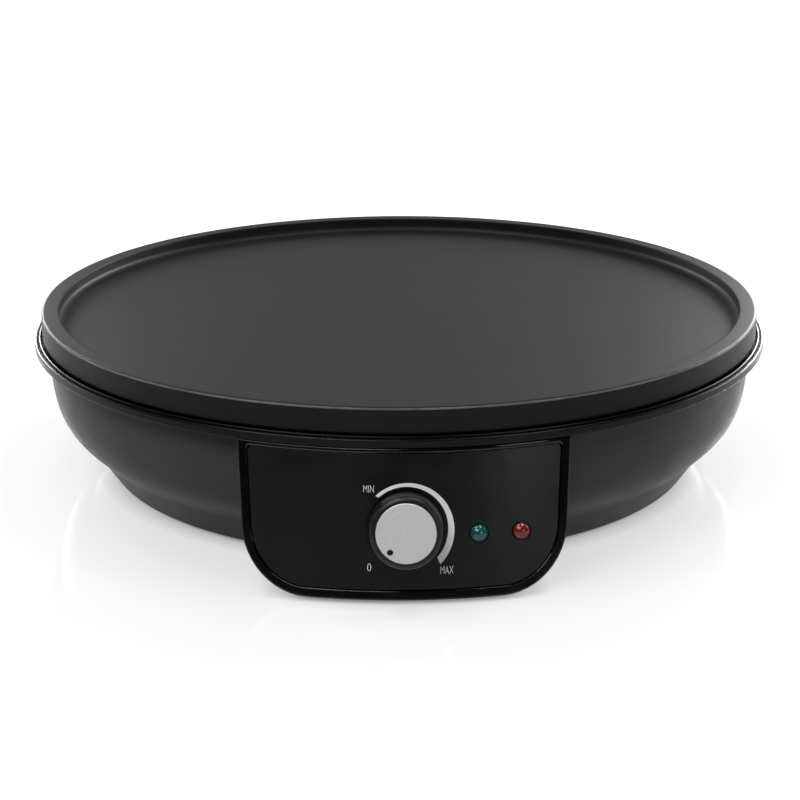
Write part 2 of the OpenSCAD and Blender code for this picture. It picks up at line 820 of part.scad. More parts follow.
module base_bowl() {
    color(shell_grey) in_frame() difference() {
        union() {
            rotate_extrude($fn = 180) intersection() {
                difference() {
                    bowl_outline(0);
                    bowl_outline(-base_wall);
                }
                square([reach, ring_z0]);
            }
            intersection() {
                bowl_inner_features();
                bowl_solid(0);
            }
            translate([0, gland_face_y, gland_z])
                extrude_to_front(gland_boss_t) circle(r = gland_boss_r);
        }
        translate([0, gland_face_y + 1, gland_z])
            extrude_to_front(gland_boss_t + 2) circle(r = gland_barrel_r + fit_gap);
        ring_fixings()
            translate([0, 0, ring_z0 - ring_boss_h - screw_seat_t - eps])
                cylinder(h = screw_seat_t + 2 * eps, r = screw_pass_r);
        for (a = [45:90:315])
            at_polar(stud_circle_r, a) {
                translate([0, 0, base_z0 - eps]) {
                    cylinder(h = stud_tower_h + base_wall + 1, r = stud_r + skin_gap);
                    cylinder(h = nut_pocket_h + eps, r = nut_pocket_r);
                }
            }
        for (a = [45:90:315])
            at_polar(foot_circle_r, a) translate([0, 0, -eps]) {
                cylinder(h = foot_h + eps, r = foot_r + skin_gap);
                cylinder(h = foot_h + screw_grip, r = screw_bore_r);
            }
        for (f = housing_fixings)
            translate([f[0], f[2] + 1, f[1]])
                extrude_to_front(30) circle(r = screw_pass_r);
        translate([-window_half_w, -base_r - 5, window_z0])
            cube([2 * window_half_w, 50, window_z1 - window_z0]);
        for (i = [0:vent_n - 1])
            rotate([0, 0, (i + 0.5) * 360 / vent_n])
                translate([22, -vent_w / 2, base_z0 - 1]) cube([24, vent_w, base_wall + 2]);
        for (s = [-1, 1])
            translate([s * block_screw_x, block_y + block_d / 2, block_z - block_post_h - 1])
                cylinder(h = block_post_h + 2, r = screw_bore_r);
    }
}

// towers, ledges and pads inside the base
module bowl_inner_features() {
    for (a = [45:90:315]) {
        at_polar(stud_circle_r, a) translate([0, 0, base_z0])
            cylinder(h = base_wall + stud_tower_h, r = stud_boss_r);
        at_polar(foot_circle_r, a) translate([0, 0, base_z0])
            cylinder(h = foot_h - foot_out + screw_grip + 1.5, r = foot_r + 2.5);
    }
    ring_fixings()
        translate([0, 0, ring_z0 - ring_boss_h - screw_seat_t]) {
            cylinder(h = screw_seat_t, r = ring_boss_r + 1);
            translate([0, -ring_boss_r - 1, 0])
                cube([base_r - ring_boss_circle_r, 2 * ring_boss_r + 2, screw_seat_t]);
        }
    for (f = housing_fixings)
        translate([f[0], f[2], f[1]])
            extrude_to_front(40) circle(r = pod_pad_r);
    for (s = [-1, 1])
        translate([s * block_screw_x, block_y + block_d / 2, base_z0])
            cylinder(h = base_wall + block_post_h, r = block_post_r);
}

module rubber_feet() {
    seat = foot_h - 1.5;
    color("black") in_frame()
        for (a = [45:90:315])
            at_polar(foot_circle_r, a) rotate_extrude() difference() {
                polygon(concat(
                    [[0, 0]],
                    arc([foot_r - 0.8, 0.8], 0.8, -90, 0, 4),
                    [[foot_r, foot_h], [0, foot_h]]
                ));
                translate([-1, -1]) square([1 + screw_pass_r, foot_h + 2]);
                translate([-1, -1]) square([1 + screw_head_r + slip_gap, seat + 1]);
            }
}

module foot_screws() {
    color(steel) in_frame()
        for (a = [45:90:315])
            at_polar(foot_circle_r, a) translate([0, 0, foot_h - 1.5])
                pan_screw(1.5 + screw_grip - 0.5);
}

module control_housing() {
    color(gloss_black) in_frame() difference() {
        union() {
            difference() {
                intersection() {
                    extrude_to_front(reach) pod_outline(0, pod_top);
                    face_cone(0);
                }
                intersection() {
                    extrude_to_front(reach) pod_outline(pod_wall, pod_top - pod_wall);
                    face_cone(pod_front_in);
                }
            }
            intersection() {
                union() {
                    for (f = housing_fixings)
                        translate([f[0], f[2], f[1]])
                            extrude_to_front(reach) circle(r = pod_boss_r);
                    on_knob_axis() for (s = [-1, 1])
                        translate([0, s * bracket_screw_out, bracket_z])
                            cylinder(h = 8, r = pod_boss_r);
                }
                face_cone(pod_front_in - 1);
                extrude_to_front(reach) pod_outline(1, pod_top - 1);
            }
        }
        bowl_solid(skin_gap);
        difference() {
            extrude_to_front(reach) fascia_outline(0);
            face_cone(fascia_pocket);
        }
        for (f = housing_fixings)
            translate([f[0], f[2] + 1, f[1]])
                extrude_to_front(f[3] + 1.2) circle(r = screw_bore_r);
        on_knob_axis() {
            translate([0, 0, bracket_z - eps]) cylinder(h = 12, r = bushing_r + 1.5);
            for (s = [-1, 1])
                translate([0, s * bracket_screw_out, bracket_z - eps])
                    cylinder(h = 4, r = screw_bore_r);
        }
        for (p = [green_place, red_place])
            on_face(p[0], p[1])
                translate([0, 0, -12]) cylinder(h = 12, r = barrel_r + slip_gap);
    }
}

module housing_screws() {
    color(steel) in_frame()
        for (f = housing_fixings)
            translate([f[0], f[2], f[1]])
                rotate([90, 0, 0]) pan_screw(f[3]);
}

module control_fascia() {
    color(satin_black) in_frame() difference() {
        intersection() {
            extrude_to_front(reach) fascia_outline(fascia_gap);
            difference() {
                face_cone(fascia_set);
                face_cone(fascia_pocket - fit_gap);
            }
        }
        on_knob_axis() {
            translate([0, 0, knob_pocket_z]) cylinder(h = 10, r = knob_pocket_r);
            translate([0, 0, -8]) cylinder(h = 12, r = hub_r + 0.8);
        }
        for (p = [green_place, red_place])
            on_face(p[0], p[1]) {
                translate([0, 0, -lens_pocket_h]) cylinder(h = 10, r = lens_pocket_r);
                translate([0, 0, -8]) cylinder(h = 12, r = barrel_r + 0.2);
            }
    }
}

// round hole or shaft with one flat, which faces the pointer
module d_shape(r, flat, h) {
    rotate([0, 0, pointer_angle]) linear_extrude(height = h) intersection() {
        circle(r = r, $fn = 64);
        translate([-r - 1, -r - 1]) square([r + 1 + flat, 2 * r + 2]);
    }
}

module knob_body() {
    foot_edge = 0.5;
    color(gloss_black) in_frame() on_knob_axis() difference() {
        rotate_extrude() polygon([
            [0, knob_foot_z0],
            [knob_foot_r - foot_edge, knob_foot_z0],
            [knob_foot_r, knob_foot_z0 + foot_edge],
            for (turn = [0:15:90])
                [knob_rim_r + knob_shoulder * cos(turn),
                    knob_rim_z - knob_shoulder * (1 - sin(turn))],
            [0, knob_rim_z]
        ]);
        difference() {
            translate([0, 0, knob_foot_z0 - eps])
                cylinder(h = knob_hollow_z - knob_foot_z0, r = knob_hollow_r);
            translate([0, 0, knob_foot_z0 - 1]) cylinder(h = knob_h, r = hub_r);
        }
        translate([0, 0, knob_foot_z0 - eps])
            d_shape(spindle_r + fit_gap, spindle_flat + clip_t + 0.2, knob_hollow_z - knob_foot_z0);
        translate([0, 0, knob_h - cap_t]) cylinder(h = cap_t, r = cap_r + fit_gap);
    }
}

module knob_cap() {
    color(silver) in_frame() on_knob_axis() difference() {
        union() {
            translate([0, 0, knob_h - cap_t]) cylinder(h = cap_t - cap_edge, r = cap_r);
            translate([0, 0, knob_h - cap_edge])
                cylinder(h = cap_edge, r1 = cap_r, r2 = cap_r - cap_edge);
        }
        rotate([0, 0, pointer_angle]) translate([pointer_out, 0, knob_h - cap_t - eps])
            cylinder(h = cap_t + 2 * eps, r = pointer_r, $fn = 48);
    }
}

module knob_spring_clip() {
    color(steel) in_frame() on_knob_axis()
        rotate([0, 0, pointer_angle])
            translate([spindle_flat + skin_gap, -spindle_r * 0.6, knob_foot_z0 + 1.5])
                cube([clip_t, spindle_r * 1.2, knob_hollow_z - knob_foot_z0 - 2.5]);
}

module thermostat_spindle() {
    spindle_z0 = thermostat_z - thermostat_depth + 2;
    color(steel) in_frame() on_knob_axis() {
        translate([0, 0, spindle_z0])
            cylinder(h = knob_foot_z0 - spindle_z0, r = spindle_r, $fn = 64);
        translate([0, 0, knob_foot_z0])
            d_shape(spindle_r, spindle_flat, knob_hollow_z - knob_foot_z0 - slip_gap);
    }
}

module thermostat_bushing() {
    flange_z = bracket_z - bracket_t - bushing_flange_t;
    color("goldenrod") in_frame() on_knob_axis() difference() {
        union() {
            translate([0, 0, flange_z])
                cylinder(h = bushing_front_z - flange_z, r = bushing_r, $fn = 64);
            translate([0, 0, flange_z]) cylinder(h = bushing_flange_t, r = bushing_r + 2.5);
        }
        translate([0, 0, flange_z - eps])
            cylinder(h = bushing_front_z - flange_z + 2 * eps, r = spindle_r + fit_gap, $fn = 64);
    }
}

module bushing_nut() {
    color(steel) in_frame() on_knob_axis()
        translate([0, 0, bracket_z]) hex_nut(bushing_r + 3, bushing_r + fit_gap, 2.4);
}

module thermostat_bracket() {
    color(steel) in_frame() on_knob_axis()
        translate([0, 0, bracket_z - bracket_t]) difference() {
            translate([-bracket_half_w, -bracket_half_h, 0])
                cube([2 * bracket_half_w, 2 * bracket_half_h, bracket_t]);
            translate([0, 0, -eps])
                cylinder(h = bracket_t + 2 * eps, r = bushing_r + skin_gap, $fn = 64);
            for (s = [-1, 1])
                translate([0, s * bracket_screw_out, -eps])
                    cylinder(h = bracket_t + 2 * eps, r = screw_pass_r);
        }
}

module bracket_screws() {
    color(steel) in_frame() on_knob_axis()
        for (s = [-1, 1])
            translate([0, s * bracket_screw_out, bracket_z - bracket_t]) pan_screw(4.8);
}

module thermostat_body() {
    color(ceramic_white) in_frame() on_knob_axis() difference() {
        translate([-thermostat_half_w, -thermostat_half_h, thermostat_z - thermostat_depth])
            cube([2 * thermostat_half_w, 2 * thermostat_half_h, thermostat_depth]);
        translate([0, 0, thermostat_z - thermostat_depth + 1.5])
            cylinder(h = thermostat_depth, r = spindle_r + fit_gap, $fn = 64);
    }
}

module thermostat_tabs() {
    color("goldenrod") in_frame() on_knob_axis()
        for (s = [-1, 1])
            translate([s * tab_x - 0.4, -3.15, thermostat_z - thermostat_depth - tab_len])
                cube([0.8, 6.3, tab_len]);
}

// a point on the knob's axis system, in the appliance's own axes
function knob_point(x, y, z) = [
    knob_x + x,
    -face_r(knob_z) + y * sin(panel_tilt) - z * cos(panel_tilt),
    knob_z + y * cos(panel_tilt) + z * sin(panel_tilt)
];
thermostat_back = thermostat_z - thermostat_depth;

module capillary_tube() {
    start = knob_point(0, capillary_up, thermostat_back - skin_gap);
    color("peru") in_frame() wire([
        start,
        knob_point(0, capillary_up, thermostat_back - capillary_up),
        [0, -element_ring_r - capillary_turn, reflector_z + reflector_rim_h + 3 * capillary_r],
        [0, capillary_dip - element_ring_r, element_z - element_r - capillary_dip],
        [0, bulb_end_y - capillary_up, plate_under - bulb_r],
        [0, bulb_end_y - skin_gap, plate_under - bulb_r]
    ], capillary_r);
}

// a point on a lens's axis system, in the appliance's own axes
function lens_point(p, z) =
    let (a = asin(p[0] / face_r(p[1])), r = face_r(p[1]) + z * cos(panel_tilt))
    [r * sin(a), -r * cos(a), p[1] + z * sin(panel_tilt)];

module lens(p) {
    dome_r = (lens_r * lens_r + dome_h * dome_h) / (2 * dome_h);
    on_face(p[0], p[1]) difference() {
        rotate_extrude() polygon(concat(
            [[0, barrel_z], [barrel_r, barrel_z], [barrel_r, 0], [lens_r, 0]],
            arc([0, dome_h - dome_r], dome_r, asin(1 - dome_h / dome_r), 90, 10)
        ));
        translate([0, 0, barrel_z - eps]) cylinder(h = -barrel_z - 0.5, r = lens_bore_r);
    }
}

module green_lens() {
    color("darkgreen") in_frame() lens(green_place);
}

module red_lens() {
    color("darkred") in_frame() lens(red_place);
}

module lamp(p) {
    on_face(p[0], p[1]) {
        translate([0, 0, lamp_z]) cylinder(h = -lamp_z - 2 - lamp_r, r = lamp_r);
        translate([0, 0, -2 - lamp_r]) sphere(r = lamp_r, $fn = 48);
    }
}

module green_lamp() {
    color("lightgray") in_frame() lamp(green_place);
}

module red_lamp() {
    color("lightgray") in_frame() lamp(red_place);
}

module lamp_boots() {
    color("ivory") in_frame()
        for (p = [green_place, red_place])
            on_face(p[0], p[1]) difference() {
                translate([0, 0, boot_back_z])
                    cylinder(h = boot_front_z - boot_back_z, r = boot_r);
                translate([0, 0, boot_back_z + boot_back_t])
                    cylinder(h = 20, r = barrel_r + fit_gap);
                translate([0, 0, boot_back_z - 1]) cylinder(h = 5, r = lamp_lead_r + skin_gap);
            }
}

module lamp_leads() {
    color("dimgray") in_frame()
        for (p = [green_place, red_place]) {
            out = lens_point(p, boot_back_z - 3);
            side = (p == green_place) ? 4 : -4;
            end = knob_point(thermostat_half_w + lead_end_gap, side, thermostat_z - 8);
            wire([
                lens_point(p, lamp_z),
                out,
                [out[0] - 3, out[1] + 4, end[2] + side],
                end + [lead_straight, 0, 0],
                end
            ], lamp_lead_r, [0, 0.1, 1]);
        }
}

module terminal_block() {
    color("ivory") in_frame() difference() {
        translate([-block_half_w, block_y, block_z]) cube([2 * block_half_w, block_d, block_h]);
        for (s = [-1, 1])
            translate([s * block_screw_x, block_y + block_d / 2, block_z - eps]) {
                cylinder(h = block_h + 1, r = screw_pass_r);
                translate([0, 0, block_screw_seat])
                    cylinder(h = block_h, r = screw_head_r + slip_gap);
            }
        for (x = [-block_pitch, 0, block_pitch])
            translate([x, block_y + block_d + 1, block_z + block_h / 2])
                extrude_to_front(block_d / 2) circle(r = block_mouth_r);
    }
}

module terminal_screws() {
    color(steel) in_frame()
        for (s = [-1, 1])
            translate([s * block_screw_x, block_y + block_d / 2, block_z + block_screw_seat])
                mirror([0, 0, 1]) pan_screw(block_screw_seat + block_post_h + block_screw_in);
}

// terminal block to thermostat, and thermostat to the element
module live_leads() {
    tab_z = thermostat_back - tab_len - lead_end_gap;
    right_tab = knob_point(tab_x, 0, tab_z);
    left_tab = knob_point(-tab_x, 0, tab_z);
    color("saddlebrown") in_frame() {
        wire([
            [block_pitch, block_y - lead_end_gap, block_z + block_h / 2],
            [block_pitch, block_y - lead_straight, block_z + block_h / 2],
            [live_x, block_y - lead_bend, lead_z],
            [live_x, live_turn_y, lead_z],
            right_tab + tab_lead_run,
            right_tab
        ], lead_r);
        wire([
            [-pin_x, pin_y, pin_z - lead_end_gap],
            [-pin_x, pin_y, pin_z - pin_lead_drop],
            left_tab + tab_lead_run,
            left_tab
        ], lead_r);
    }
}

module neutral_lead() {
    color("steelblue") in_frame() wire([
        [-block_pitch, block_y - lead_end_gap, block_z + block_h / 2],
        [-block_pitch, block_y - lead_straight, block_z + block_h / 2],
        [neutral_x, block_y - lead_bend, lead_z],
        [neutral_x, neutral_turn_y, lead_z],
        [pin_x, pin_y, pin_z - pin_lead_drop],
        [pin_x, pin_y, pin_z - lead_end_gap]
    ], lead_r);
}

module earth_lead() {
    tail = earth_tag_len - earth_tag_half_w;
    tag = [earth_r * cos(earth_angle) + tail * sin(earth_angle),
        earth_r * sin(earth_angle) - tail * cos(earth_angle)];
    color("green") in_frame() wire([
        [block_half_w + lead_end_gap, block_y + block_d / 2, block_z + block_h / 2],
        [block_half_w + earth_lead_drop, block_y + block_d / 2, block_z + block_h / 2],
        [tag[0], tag[1] + 4, reflector_z],
        [tag[0], tag[1], plate_under - strap_t - earth_lead_drop],
        [tag[0], tag[1], plate_under - strap_t - lead_end_gap]
    ], lead_r);
}

module cord_gland() {
    color("black") in_frame() difference() {
        union() {
            translate([0, gland_face_y + gland_flange_t, gland_z])
                extrude_to_front(gland_flange_t) circle(r = gland_flange_r);
            translate([0, gland_face_y + eps, gland_z])
                extrude_to_front(gland_barrel_len) circle(r = gland_barrel_r);
        }
        translate([0, gland_face_y + gland_flange_t + 1, gland_z])
            extrude_to_front(gland_barrel_len + gland_flange_t + 2) circle(r = gland_bore_r);
    }
}

module gland_nut() {
    color("black") in_frame()
        translate([0, gland_face_y - gland_boss_t, gland_z])
            rotate([90, 0, 0]) hex_nut(gland_nut_r, gland_barrel_r + fit_gap, gland_nut_t);
}

griddle_plate();
trim_ring();
ring_screws();
base_bowl();
rubber_feet();
foot_screws();
control_housing();
housing_screws();
control_fascia();
knob_body();
knob_cap();
knob_spring_clip();
thermostat_spindle();
thermostat_bushing();
bushing_nut();
thermostat_bracket();
bracket_screws();
thermostat_body();
thermostat_tabs();
capillary_tube();
sensor_bulb();
bulb_clip();
thermal_fuse();
fuse_clip();
earth_tag();
plate_screws();
heating_element();
element_insulators();
element_clamps();
clamp_screws();
plate_studs();
stud_sleeves();
stud_nuts();
heat_reflector();
green_lens();
red_lens();
green_lamp();
red_lamp();
lamp_boots();
lamp_leads();
terminal_block();
terminal_screws();
live_leads();
neutral_lead();
earth_lead();
cord_gland();
gland_nut();
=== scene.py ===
"""Electric crepe maker: finishes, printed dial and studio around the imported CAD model.

Every object is in metres, in the frame of the CAD model: +Z is up, the control panel faces -Y
and the middle of the table side is the origin.
"""

import math

import bmesh
import bpy
from bpy.props import FloatProperty, FloatVectorProperty, PointerProperty
from mathutils import Euler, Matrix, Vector


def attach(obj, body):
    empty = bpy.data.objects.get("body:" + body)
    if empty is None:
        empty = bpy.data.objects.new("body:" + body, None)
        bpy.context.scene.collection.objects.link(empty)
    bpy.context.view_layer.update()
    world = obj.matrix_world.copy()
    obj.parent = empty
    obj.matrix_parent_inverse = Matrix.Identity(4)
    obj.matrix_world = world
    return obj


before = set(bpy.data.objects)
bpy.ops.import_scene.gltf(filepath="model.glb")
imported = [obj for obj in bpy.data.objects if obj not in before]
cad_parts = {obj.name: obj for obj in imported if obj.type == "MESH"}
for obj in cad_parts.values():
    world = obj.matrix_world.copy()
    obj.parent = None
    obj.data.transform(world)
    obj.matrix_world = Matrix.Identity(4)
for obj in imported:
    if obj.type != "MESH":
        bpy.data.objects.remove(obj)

bl_info = {
    "name": "Crepe Maker Builder",
    "version": (1, 0, 0),
    "blender": (4, 5, 0),
    "location": "View3D > Sidebar > Crepe Maker",
    "description": "Builds the finishes, the printed dial and the studio of an electric crepe maker",
    "category": "Object",
}

MM = 0.001

# The round plate and the outer corner of its rim, as in the CAD model
PLATE_AXIS_Y = 10.296 * MM
PLATE_R = 160.0 * MM
PLATE_CORNER_Z = 73.1 * MM

# The control panel, as in the CAD model: a cone about the plate's axis that widens downwards.
# Its frame has the radius and height of its top edge, and the fascia is set behind the frame.
FACE_TOP_R = 163.0 * MM
FACE_TOP_Z = 58.45 * MM
PANEL_TILT = math.radians(13.0)
FASCIA_SET = 0.4 * MM
KNOB_X = 0.2 * MM
KNOB_Z = 28.7 * MM

# The printed dial, in millimetres and degrees. An arc has the shift of its centre from the
# knob's axis, its radius and its first and last angle. A word has its left, right, bottom and top.
WEDGE_INNER = ((0.43, -0.19), 15.84, 132.5, -43.0)
WEDGE_OUTER = ((0.80, -0.79), 17.82, 133.0, -46.0)
DIAL_WORDS = (
    ("dial_min", "MIN", (-15.8, -11.8, 42.2, 44.8)),
    ("dial_zero", "0", (-14.5, -13.0, 12.7, 15.6)),
    ("dial_max", "MAX", (13.4, 18.4, 11.4, 14.3)),
)
DIAL_STEPS = 72
INK_FOOT = 0.01 * MM

# Lettering before it is laid on the panel, for letters of size 1
LETTER_DEPTH = 0.05
LETTER_THINNING = -0.014
LETTER_STEPS = 6
LETTER_MERGE = 1e-5

# Clouds of colour and the finer patches of roughness in every finish. A ramp has the two values
# that it runs between, and its level at each. A span has only the two values.
CLOUD_RAMP = (0.35, 0.65, 0.0, 1.0)
PATCH_SPAN = (0.3, 0.7)
PATCH_SCALE = 2.3

# Samples of the rounded edges and of the painted shadow where the object meets the floor
EDGE_SAMPLES = 8

# Sockets of the Mix node that carry colours
MIX_FACTOR = 0
MIX_FIRST = 6
MIX_SECOND = 7
MIX_RESULT = 2

# Painted highlight along the corner of the plate's rim: a lighter colour that stands in for the
# glint on the rounded corner, ramped by the distance from the plate's axis, by height and by a noise
RIM_HIGHLIGHT_COLOUR = (0.14, 0.14, 0.14)
RIM_HIGHLIGHT_OUTWARDS = (PLATE_R - 0.35 * MM, PLATE_R - 0.20 * MM, 0.0, 1.0)
RIM_HIGHLIGHT_UPWARDS = (PLATE_CORNER_Z - 0.15 * MM, PLATE_CORNER_Z, 0.0, 1.0)
RIM_HIGHLIGHT_PATCHES = (0.3, 0.6, 0.5, 1.0)
RIM_HIGHLIGHT_CLOUD = 90.0

# Pairs of tones for some finishes of the inner parts, and the colour of each lead's sleeve
ALLOY = ((0.75, 0.75, 0.76), (0.60, 0.60, 0.61))
HEATER_OXIDE = ((0.20, 0.17, 0.15), (0.33, 0.29, 0.26))
IVORY = ((0.72, 0.68, 0.56), (0.66, 0.62, 0.50))
GLAND_BLACK = ((0.012, 0.012, 0.012), (0.018, 0.018, 0.018))
LAMP_GLASS = ((0.9, 0.9, 0.9), (0.8, 0.8, 0.8))
LEAD_SLEEVES = {
    "live_leads": (0.16, 0.07, 0.03),
    "neutral_lead": (0.03, 0.10, 0.35),
    "earth_lead": (0.10, 0.32, 0.05),
    "lamp_leads": (0.20, 0.20, 0.21),
}

# Softboxes: place and size in metres, and the setting that holds the power
SOFTBOXES = (
    ("key_softbox", (-0.48, -0.84, 1.15), (1.0, 0.6), "key_power"),
    ("top_left_softbox", (-0.45, 0.05, 1.3), (0.5, 0.5), "top_power"),
    ("top_right_softbox", (0.45, 0.05, 1.3), (0.5, 0.5), "top_power"),
    ("right_softbox", (0.75, 0.35, 0.3), (0.4, 0.5), "right_power"),
    ("left_softbox", (-0.75, 0.35, 0.3), (0.4, 0.5), "left_power"),
    ("fill_softbox", (0.68, -1.0, 0.38), (0.3, 0.3), "fill_power"),
    ("back_right_softbox", (0.42, 0.55, 0.22), (0.2, 0.2), "back_right_power"),
    ("back_left_softbox", (-0.42, 0.55, 0.22), (0.2, 0.2), "back_left_power"),
    ("back_softbox", (0.05, 0.8, 0.45), (0.6, 0.2), "back_power"),
)
SOFTBOX_AIM = Vector((0.0, 0.0, 0.04))

# The floor: its ramps run with the distance from the object's middle. Its white glow is fainter
# near the object, a painted shade, and ambient occlusion darkens it at the contact, a painted shadow
FLOOR_HALF = 4.0
FLOOR_CELLS = 24
FLOOR_GREY = 0.20
FLOOR_ROUGHNESS = 0.6
FLOOR_WHITE_AND_SHADE = (0.3, 0.7, 0.785, 1.0)
CONTACT_REACH = 0.008
CONTACT_SOFTNESS = 0.25
MIRROR_NEAR = (0.15, 0.36, 1.0, 0.0)
MIRROR_SHARE = 0.18
MIRROR_ROUGHNESS = 0.08

# The surroundings: their ramps run with a direction's Y, Z or X
STUDIO_GREY = 0.05
GLOW_BEHIND = (0.0, 0.5, 0.0, 1.0)
GLOW_LOW = (0.45, 0.85, 1.0, 0.0)
GLOW_LEFT = (-0.02, -0.40, 0.0, 0.9)
GLOW_RIGHT = (0.02, 0.40, 0.75, 2.2)

# The camera: sensor in millimetres, the rest in metres and in shares of the picture
SENSOR_WIDTH = 36.0
LENS_SHIFT = (0.00093, -0.0125)
CAMERA_AIM = Vector((0.0, PLATE_AXIS_Y, 0.0291))
CAMERA_NEAR = 0.01


# ---------------------------------------------------------------- materials


def add(tree, kind, inputs=None, **settings):
    """Adds a node, sets its settings, and gives its inputs a value or a link."""
    made = tree.nodes.new(kind)
    for name, value in settings.items():
        setattr(made, name, value)
    for name, value in (inputs or {}).items():
        if isinstance(value, bpy.types.NodeSocket):
            tree.links.new(value, made.inputs[name])
        else:
            made.inputs[name].default_value = value
    return made


def rgba(colour):
    """A colour with its alpha."""
    return (*colour[:3], 1.0)


def shade(colour, share):
    """A colour made lighter or darker by a share."""
    return tuple(c * share for c in colour[:3])


def noise(tree, place, scale, detail=3.0, roughness=0.5):
    """The factor of a noise texture."""
    return add(tree, "ShaderNodeTexNoise", {
        "Vector": place, "Scale": scale, "Detail": detail, "Roughness": roughness,
    }).outputs["Fac"]


def ranged(tree, value, from_low, from_high, to_low, to_high):
    """A value mapped from one range to another, and held inside it."""
    return add(tree, "ShaderNodeMapRange", {
        "Value": value, "From Min": from_low, "From Max": from_high,
        "To Min": to_low, "To Max": to_high,
    }).outputs["Result"]


def combined(tree, operation, *values):
    """Several values put together by one operation."""
    result = values[0]
    for value in values[1:]:
        result = add(tree, "ShaderNodeMath", {0: result, 1: value},
                     operation=operation).outputs[0]
    return result


def mixed(tree, factor, first, second):
    """Two colours mixed by a factor."""
    made = add(tree, "ShaderNodeMix", data_type="RGBA")
    for socket, value in ((MIX_FACTOR, factor), (MIX_FIRST, first), (MIX_SECOND, second)):
        if isinstance(value, bpy.types.NodeSocket):
            tree.links.new(value, made.inputs[socket])
        else:
            made.inputs[socket].default_value = value
    return made.outputs[MIX_RESULT]


def node_of(tree, kind):
    """The first node of one type."""
    return next(node for node in tree.nodes if node.type == kind)


def new_material(name):
    """An empty node material with its shader, its output and its object coordinates."""
    material = bpy.data.materials.new(name)
    material.use_nodes = True
    tree = material.node_tree
    tree.nodes.clear()
    shader = add(tree, "ShaderNodeBsdfPrincipled")
    output = add(tree, "ShaderNodeOutputMaterial")
    tree.links.new(shader.outputs["BSDF"], output.inputs["Surface"])
    place = add(tree, "ShaderNodeTexCoord").outputs["Object"]
    return material, tree, shader, place


def surface(name, colours, rough, grain, cloud=30.0, stretch=(1, 1, 1), edge=0.0, **sockets):
    """A finish with clouded colour and roughness, a fine raised grain and softened edges.

    colours and rough are pairs, grain is (size, depth) in metres, cloud is in patches a metre,
    and edge is the radius to which sharp edges look rounded.
    """
    material, tree, shader, place = new_material(name)
    place = add(tree, "ShaderNodeMapping", {"Vector": place, "Scale": stretch}).outputs["Vector"]
    clouds = noise(tree, place, cloud)
    size, depth = grain
    fine = noise(tree, place, 1.0 / size, detail=2.0)
    first, second = colours
    tree.links.new(mixed(tree, ranged(tree, clouds, *CLOUD_RAMP), rgba(first), rgba(second)),
                   shader.inputs["Base Color"])
    patches = noise(tree, place, cloud * PATCH_SCALE, detail=5.0)
    tree.links.new(ranged(tree, patches, *PATCH_SPAN, *rough), shader.inputs["Roughness"])
    bump = add(tree, "ShaderNodeBump", {"Height": fine, "Distance": depth})
    if edge > 0.0:
        softened = add(tree, "ShaderNodeBevel", {"Radius": edge}, samples=EDGE_SAMPLES)
        tree.links.new(softened.outputs["Normal"], bump.inputs["Normal"])
    tree.links.new(bump.outputs["Normal"], shader.inputs["Normal"])
    for socket, value in sockets.items():
        shader.inputs[socket.replace("_", " ")].default_value = value
    return material


def paint(material, *nodes):
    """Puts a material on every slot of some CAD nodes."""
    for name in nodes:
        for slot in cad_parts[name].material_slots:
            slot.material = material


# ---------------------------------------------------------------- settings


def colour_property(name, description, default):
    """A colour that the user can change."""
    return FloatVectorProperty(
        name=name, description=description, default=default, subtype="COLOR", min=0.0, max=1.0)


def length_property(name, description, default):
    """A length in metres that the user can change."""
    return FloatProperty(
        name=name, description=description, default=default, unit="LENGTH", precision=5, min=0.0)


def share_property(name, description, default):
    """A share from 0 to 1 that the user can change."""
    return FloatProperty(
        name=name, description=description, default=default, subtype="FACTOR", min=0.0, max=1.0)


def angle_property(name, description, default):
    """An angle in radians that the user can change."""
    return FloatProperty(name=name, description=description, default=default, unit="ROTATION")


def power_property(name, description, default):
    """The power of a lamp in watts that the user can change."""
    return FloatProperty(
        name=name, description=description, default=default, unit="POWER", min=0.0)


class PlateSettings(bpy.types.PropertyGroup):
    """Coating of the griddle plate"""

    coating: colour_property(
        "Coating", "Colour of the non-stick coating", (0.0085, 0.0085, 0.0087))
    roughness: share_property("Roughness", "Roughness of the non-stick coating", 0.45)
    grain: length_property("Grain", "Size of the coating's grain", 0.9 * MM)
    grain_depth: length_property("Grain depth", "Depth of the coating's grain", 0.03 * MM)


class RingSettings(bpy.types.PropertyGroup):
    """Finish of the trim ring"""

    colour: colour_property("Colour", "Colour of the trim ring", (0.002, 0.002, 0.002))
    roughness: share_property("Roughness", "Roughness of the trim ring", 0.25)


class BaseSettings(bpy.types.PropertyGroup):
    """Finish of the base and its feet"""

    colour: colour_property("Colour", "Colour of the base", (0.050, 0.050, 0.0501))
    roughness: share_property("Roughness", "Roughness of the base", 0.46)
    rubber: colour_property("Rubber", "Colour of the feet", (0.010, 0.010, 0.010))


class PanelSettings(bpy.types.PropertyGroup):
    """Finish of the control housing, its fascia and the printed dial"""

    gloss: colour_property("Housing", "Colour of the glossy housing", (0.0005, 0.0005, 0.0005))
    fascia: colour_property("Fascia", "Colour of the satin fascia", (0.0030, 0.0030, 0.0030))
    ink: colour_property("Ink", "Colour of the printed dial", (0.86, 0.86, 0.86))
    ink_height: length_property("Ink height", "Height of the ink above the fascia", 0.04 * MM)


class KnobSettings(bpy.types.PropertyGroup):
    """Finish of the thermostat knob"""

    body: colour_property("Body", "Colour of the knob's body", (0.005, 0.005, 0.005))
    cap: colour_property("Cap", "Colour of the metal cap", (0.64, 0.64, 0.64))


class LampSettings(bpy.types.PropertyGroup):
    """Colours of the signal lenses"""

    green: colour_property("Green lens", "Colour of the green lens", (0.012, 0.14, 0.13))
    red: colour_property("Red lens", "Colour of the red lens", (0.26, 0.02, 0.02))


